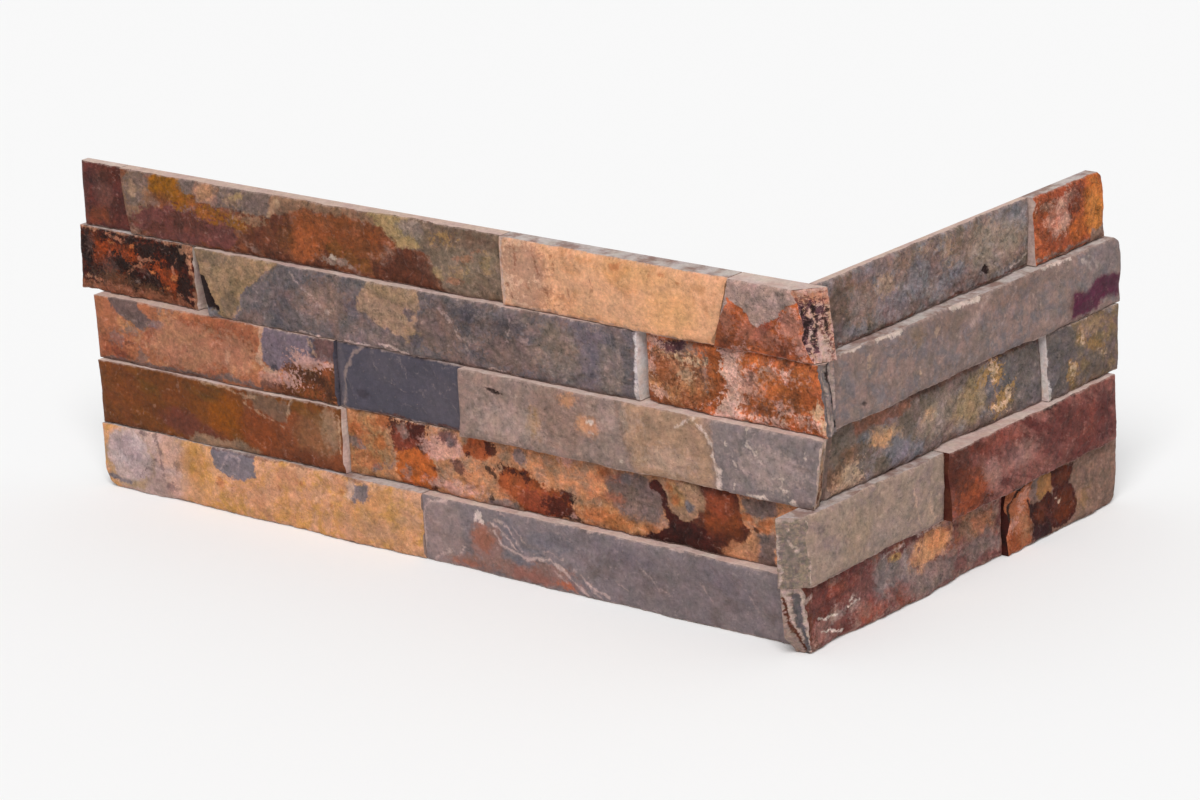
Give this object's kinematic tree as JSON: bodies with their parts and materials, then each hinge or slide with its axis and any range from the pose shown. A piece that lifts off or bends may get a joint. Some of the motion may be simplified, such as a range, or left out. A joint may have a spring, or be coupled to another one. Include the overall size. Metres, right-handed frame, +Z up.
{
  "type": "stone cladding corner piece",
  "caption": "L-shaped corner piece of split slate wall cladding: sawn strips with riven faces, bonded in staggered courses that interlock round an outside corner.",
  "frame": {"origin": "foot of the inner corner line, where the two sawn backs meet round the wall's outside corner", "axes": "+Z up the wall's corner; the long leg runs along -X with its face towards -Y; the short leg runs along +Y with its face towards +X"},
  "size_m": [0.4219, 0.2365, 0.1496],
  "materials": {
    "maroon_slate": "riven slate, dark maroon with rust and pink flecks; sawn back, top and bottom",
    "brown_slate": "riven slate, brown and gold with grey patches; sawn back, top and bottom",
    "sand_slate": "riven slate, sand to salmon with grey stains; sawn back, top and bottom",
    "rust_slate": "riven slate, rust orange with pink and dark red blotches; sawn back, top and bottom",
    "grey_slate": "riven slate, warm grey with ochre stains and pale veins; sawn back, top and bottom",
    "olive_slate": "riven slate, olive grey with ochre and rust; sawn back, top and bottom",
    "blue_slate": "riven slate, blue to lavender grey; sawn back, top and bottom",
    "adhesive": "cured stone adhesive, matt grey"
  },
  "bodies": {
    "root": {"course_5_long_stone_1": "maroon_slate", "course_5_long_stone_2": "brown_slate", "course_5_long_stone_3": "sand_slate", "course_5_corner_stone": "rust_slate", "course_5_short_stone_1": "grey_slate", "course_5_short_stone_2": "rust_slate", "course_4_long_stone_1": "maroon_slate", "course_4_long_stone_2": "grey_slate", "course_4_corner_stone": "rust_slate", "course_4_short_stone_1": "grey_slate", "course_3_long_stone_1": "sand_slate", "course_3_long_stone_2": "blue_slate", "course_3_corner_stone": "grey_slate", "course_3_short_stone_1": "olive_slate", "course_3_short_stone_2": "olive_slate", "course_2_long_stone_1": "brown_slate", "course_2_long_stone_2": "rust_slate", "course_2_corner_stone": "olive_slate", "course_2_short_stone_1": "maroon_slate", "course_1_long_stone_1": "sand_slate", "course_1_long_stone_2": "blue_slate", "course_1_corner_stone": "maroon_slate", "course_1_short_stone_1": "rust_slate", "adhesive_bed_1": "adhesive", "adhesive_bed_2": "adhesive", "adhesive_bed_3": "adhesive", "adhesive_bed_4": "adhesive"}
  },
  "joints": []
}
